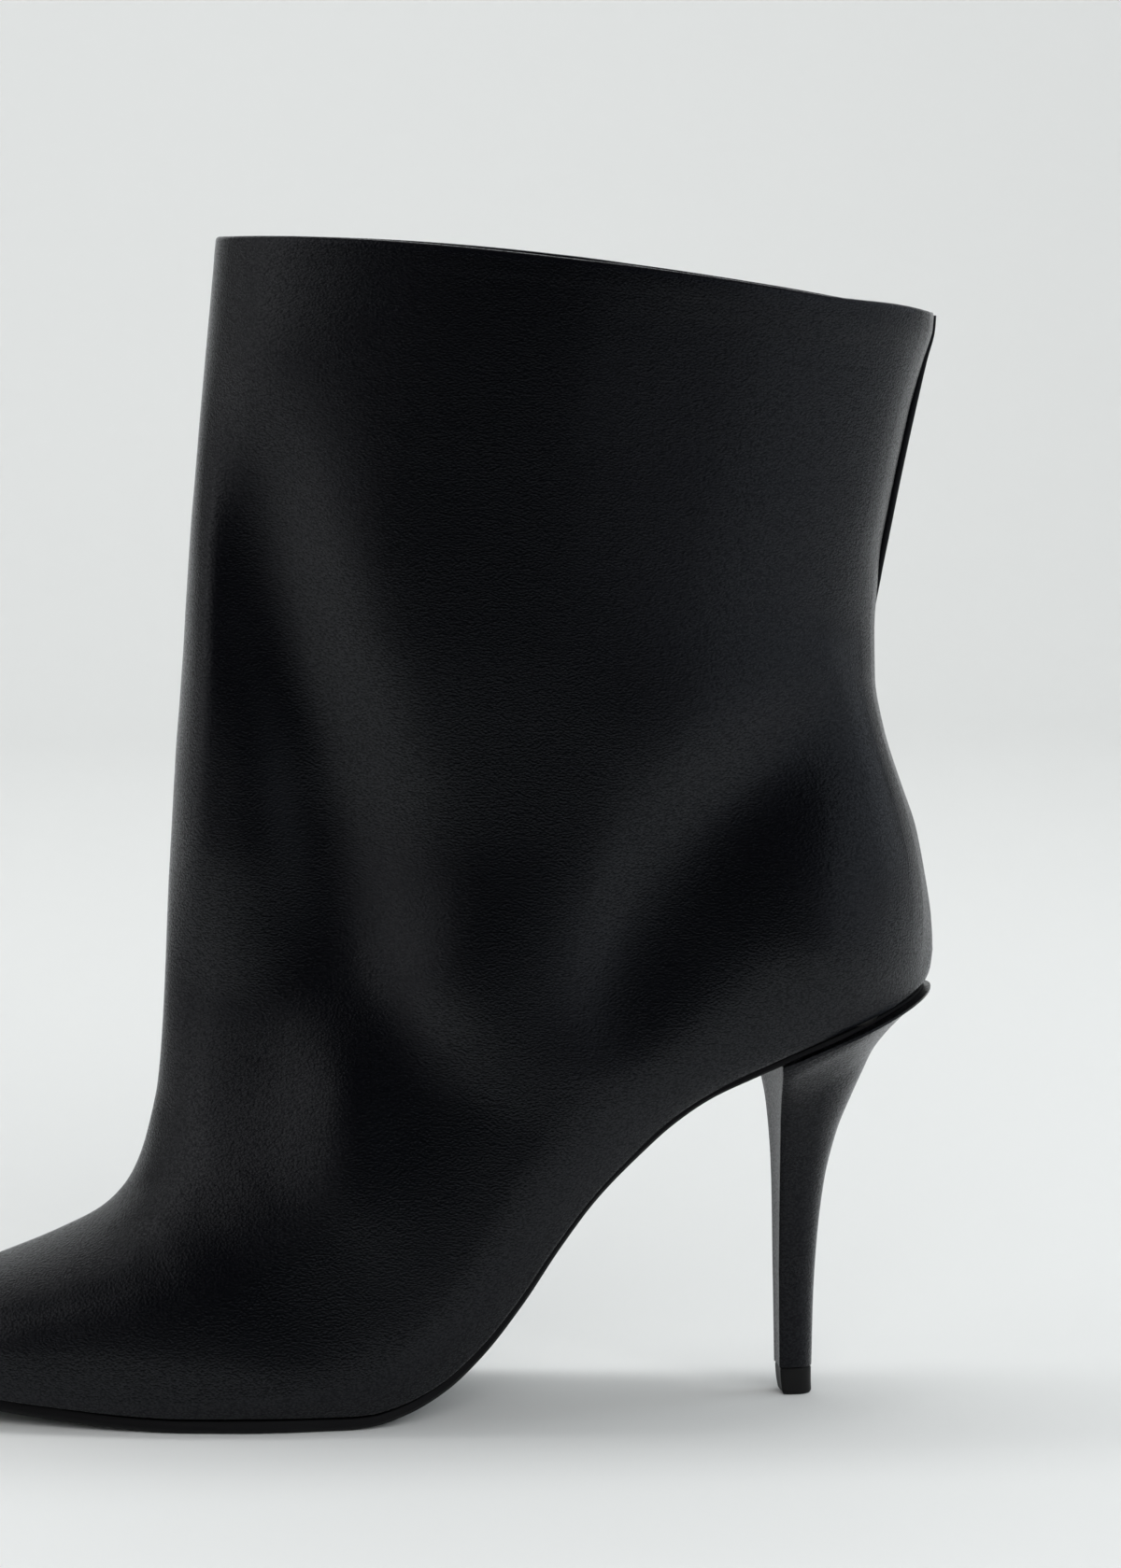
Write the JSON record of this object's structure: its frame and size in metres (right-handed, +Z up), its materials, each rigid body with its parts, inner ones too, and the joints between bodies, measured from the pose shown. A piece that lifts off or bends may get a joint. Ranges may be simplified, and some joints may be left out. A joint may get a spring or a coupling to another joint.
{
  "type": "heeled ankle boot",
  "caption": "Black leather ankle boot with a wide straight shaft, a slim pointed toe, a thin sole with a steep arch and a high, thin covered heel; worn on the left foot.",
  "frame": {"origin": "middle of the bounding box at the floor that the sole and the heel stand on", "axes": "toe towards -X, outer side of the left foot towards -Y, +Z up the shaft"},
  "size_m": [0.2508, 0.084, 0.2568],
  "materials": {
    "upper": "smooth black leather, satin",
    "outsole": "black, matt edge",
    "heel": "smooth black leather over a stiff core, satin",
    "top_piece": "black, matt",
    "insole": "dark lining leather, matt"
  },
  "bodies": {
    "root": {"upper": "upper", "outsole": "outsole", "heel": "heel", "top_piece": "top_piece", "insole": "insole"}
  },
  "joints": []
}
